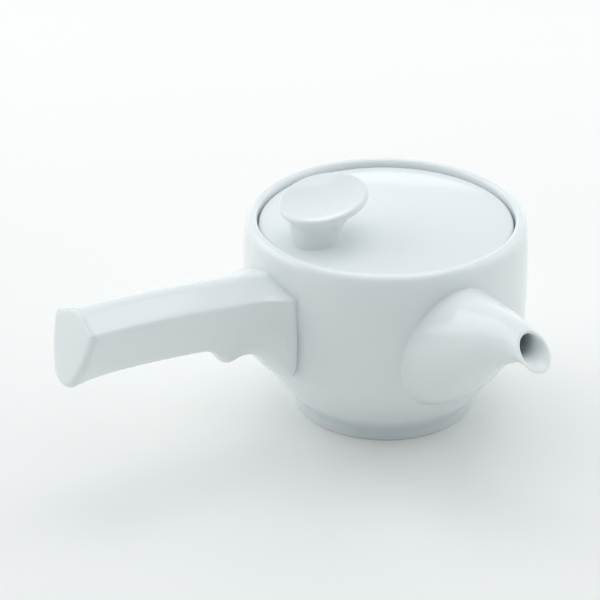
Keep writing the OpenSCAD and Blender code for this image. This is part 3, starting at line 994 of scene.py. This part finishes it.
def knob_rings():
    """The knob's rings, from the joint up the stem and over the disc's edge to its middle."""
    outline = [
        Vector((stem_r, 0)),
        Vector((stem_r - 0.2 * mm, knob_h * 0.35)),
        Vector((stem_r + 0.8 * mm, knob_h * 0.62)),
        Vector((disc_r - disc_under_r, knob_h)),
    ]
    base = on_dome(knob_ring(stem_r, 0, 0))
    skirt = on_dome(knob_ring(stem_r + knob_slip, 0, 0))
    above = [p + Vector((0, 0, knob_slip)) for p in base]
    foot = [
        [(1 - t) ** 2 * a + 2 * t * (1 - t) * b + t * t * c for a, b, c in zip(skirt, base, above)]
        for t in steps_of(6)
    ]
    stem = [
        knob_ring(at.x, at.y, t * t, -disc_under_r * t * t)
        for t, at in ((t, bezier(outline, t)) for t in steps_of(28, 3))
    ]
    edge = [
        knob_ring(disc_r - r * (1 - math.cos(a)), knob_h, 1, r * math.sin(a))
        for a, r in (
            (math.radians(degrees), disc_under_r if degrees < 0 else disc_edge_r)
            for degrees in range(-75, 91, 15)
        )
    ]
    dish = [
        knob_ring(dish_r * s, knob_h, 1, disc_edge_r - dish_depth * (1 - s * s))
        for s in dish_shares
    ]
    return foot + stem + edge + dish


knob = loft("thumb_knob", knob_rings(), "filled")
knob.data.materials.append(glaze)

# %% [markdown]
# Under the lid hangs the strainer basket. Its rim and its base ring are pressed from sheet steel on a
# round die, so each is a closed line with rounded bends, spun like the lid. Spinning and polishing
# leave fine rings in the steel. In the shader those are noise that is stretched all the way round the
# axis: it reads the distance from the axis and the height, and nothing else.

# %% Strainer steel
def strainer_steel(name, dark, light, rough_low, rough_high):
    """Steel with fine rings round the pot's axis and a faint change of tone."""
    material, shader, links, node, mix = new_material(name)
    place = node("ShaderNodeTexCoord").outputs["Object"]
    axes = node("ShaderNodeSeparateXYZ", Vector=place)
    flat = node("ShaderNodeCombineXYZ", X=axes.outputs["X"], Y=axes.outputs["Y"])
    reach = node("ShaderNodeVectorMath", {"operation": "LENGTH"}, Vector=flat.outputs["Vector"])
    rings = node("ShaderNodeCombineXYZ", X=reach.outputs["Value"], Z=axes.outputs["Z"])
    lines = node("ShaderNodeTexNoise", Vector=rings.outputs["Vector"], Scale=2600.0, Detail=3.0)
    stains = node("ShaderNodeTexNoise", Vector=place, Scale=90.0, Detail=4.0)

    links.new(mix(stains.outputs["Fac"], dark, light), shader.inputs["Base Color"])
    gloss = node("ShaderNodeMapRange", Value=lines.outputs["Fac"], To_Min=rough_low, To_Max=rough_high)
    links.new(gloss.outputs["Result"], shader.inputs["Roughness"])
    grain = node("ShaderNodeBump", Height=lines.outputs["Fac"], Strength=0.12, Distance=0.05 * mm)
    links.new(grain.outputs["Normal"], shader.inputs["Normal"])
    shader.inputs["Metallic"].default_value = 1
    return material


pressed_steel = strainer_steel("pressed_steel", (0.60, 0.60, 0.58, 1), (0.70, 0.70, 0.68, 1), 0.16, 0.34)
wire_steel = strainer_steel("wire_steel", (0.52, 0.52, 0.50, 1), (0.64, 0.64, 0.62, 1), 0.24, 0.40)
print("made", pressed_steel.name, wire_steel.name)

# %% Strainer rim and base ring
rim_low, rim_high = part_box("strainer_rim")
ring_low, ring_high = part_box("strainer_base_ring")
sheet_t = 0.6 * mm
bend_r = 0.5 * mm
sheet_edge_r = 0.2 * mm
base_lip_w = 5 * mm


def pressed_ring(name, corners, bends):
    """A closed line through corners, rounded at its bends and edges, spun and coloured."""
    line = draw_line(name, corners + [corners[0]])
    round_corners(line, bends, bend_r, 5)
    round_corners(line, [corner for corner in corners[1:] if corner not in bends], sheet_edge_r, 3)
    spin_line(line)
    line.data.materials.append(pressed_steel)
    return line


band_out = ring_high.y
band_in = band_out - sheet_t
flange_low = rim_high.z - sheet_t
rim_bend = [Vector((band_out, flange_low)), Vector((band_in, rim_high.z))]
strainer_rim = pressed_ring("basket_rim", [
    Vector((band_in, (rim_low.z + rim_high.z) / 2)),
    rim_bend[1],
    Vector((rim_high.y, rim_high.z)),
    Vector((rim_high.y, flange_low)),
    rim_bend[0],
    Vector((band_out, rim_low.z)),
    Vector((band_in, rim_low.z)),
], rim_bend)

floor_low = ring_low.z + sheet_t
base_bend = [Vector((band_out, ring_low.z)), Vector((band_in, floor_low))]
strainer_base = pressed_ring("basket_base_ring", [
    Vector((band_in, (floor_low + ring_high.z) / 2)),
    base_bend[1],
    Vector((band_in - base_lip_w, floor_low)),
    Vector((band_in - base_lip_w, ring_low.z)),
    base_bend[0],
    Vector((band_out, ring_high.z)),
    Vector((band_in, ring_high.z)),
], base_bend)

# %% [markdown]
# The wall and the floor of the basket are wire mesh. A picture of holes would not let light through, so
# the wires are real: a grid of square cells, of which a Wireframe modifier keeps only the edges, with a
# thickness. The wall's grid is a ladder of short steps spun round the axis. The floor's grid is cut to
# a disc, and its outermost points are drawn out to the rim, where the base ring holds them.

# %% Strainer mesh
wire_t = 0.42 * mm
wire_smooth = math.radians(30)
sleeve_half_t = 0.25 * mm
sleeve_cells = 22
net_cells = 52
net_edge_gap = 0.5 * mm


def weave(grid):
    """Turns the edges of a grid into wires."""
    only(grid)
    wires = grid.modifiers.new("wires", "WIREFRAME")
    wires.thickness = wire_t
    wires.offset = 0
    wires.use_even_offset = False
    bpy.ops.object.modifier_apply(modifier=wires.name)
    finish_mesh(grid, wire_smooth)
    grid.data.materials.append(wire_steel)


sleeve_low, sleeve_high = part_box("strainer_sleeve")
sleeve_middle = sleeve_high.y - sleeve_half_t
wire_low = sleeve_low.z + wire_t / 2
wire_high = sleeve_high.z - wire_t / 2
strainer_sleeve = draw_line("basket_sleeve", [
    Vector((sleeve_middle, lerp(wire_low, wire_high, t))) for t in steps_of(sleeve_cells)
])
spin_line(strainer_sleeve)
weave(strainer_sleeve)

net_low, net_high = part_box("strainer_floor")
net_r = net_high.y - wire_t / 2
bpy.ops.object.select_all(action="DESELECT")
bpy.ops.mesh.primitive_grid_add(x_subdivisions=net_cells, y_subdivisions=net_cells, size=2 * net_r)
strainer_floor = bpy.context.object
strainer_floor.name = "basket_floor"
bpy.ops.object.mode_set(mode="EDIT")
bpy.ops.mesh.select_mode(type="VERT")
net = bmesh.from_edit_mesh(strainer_floor.data)
for vertex in net.verts:
    vertex.select = vertex.co.xy.length > net_r - net_edge_gap
net.select_flush(True)
bpy.ops.mesh.delete(type="VERT")
bpy.ops.mesh.select_all(action="DESELECT")
bpy.ops.mesh.select_non_manifold()
net = bmesh.from_edit_mesh(strainer_floor.data)
for vertex in net.verts:
    if vertex.select:
        vertex.co = vertex.co.normalized() * net_r
bmesh.update_edit_mesh(strainer_floor.data)
bpy.ops.mesh.select_all(action="SELECT")
bpy.ops.transform.translate(value=(0, 0, (net_low.z + net_high.z) / 2))
bpy.ops.object.mode_set(mode="OBJECT")
weave(strainer_floor)

# %% [markdown]
# Each new piece now takes the place of its plain solid and rides on its body.

# %% Ride on the bodies
for piece, node, body, finish in (
    (bowl, "pot_bowl", "pot", "porcelain"),
    (spout, "spout", "pot", "porcelain"),
    (handle, "handle", "pot", "porcelain"),
    (lid, "lid", "lid", "porcelain"),
    (knob, "lid_knob", "lid", "porcelain"),
    (strainer_rim, "strainer_rim", "strainer", "steel"),
    (strainer_base, "strainer_base_ring", "strainer", "steel"),
    (strainer_sleeve, "strainer_sleeve", "strainer", "steel_mesh"),
    (strainer_floor, "strainer_floor", "strainer", "steel_mesh"),
):
    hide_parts(node)
    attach(piece, body)
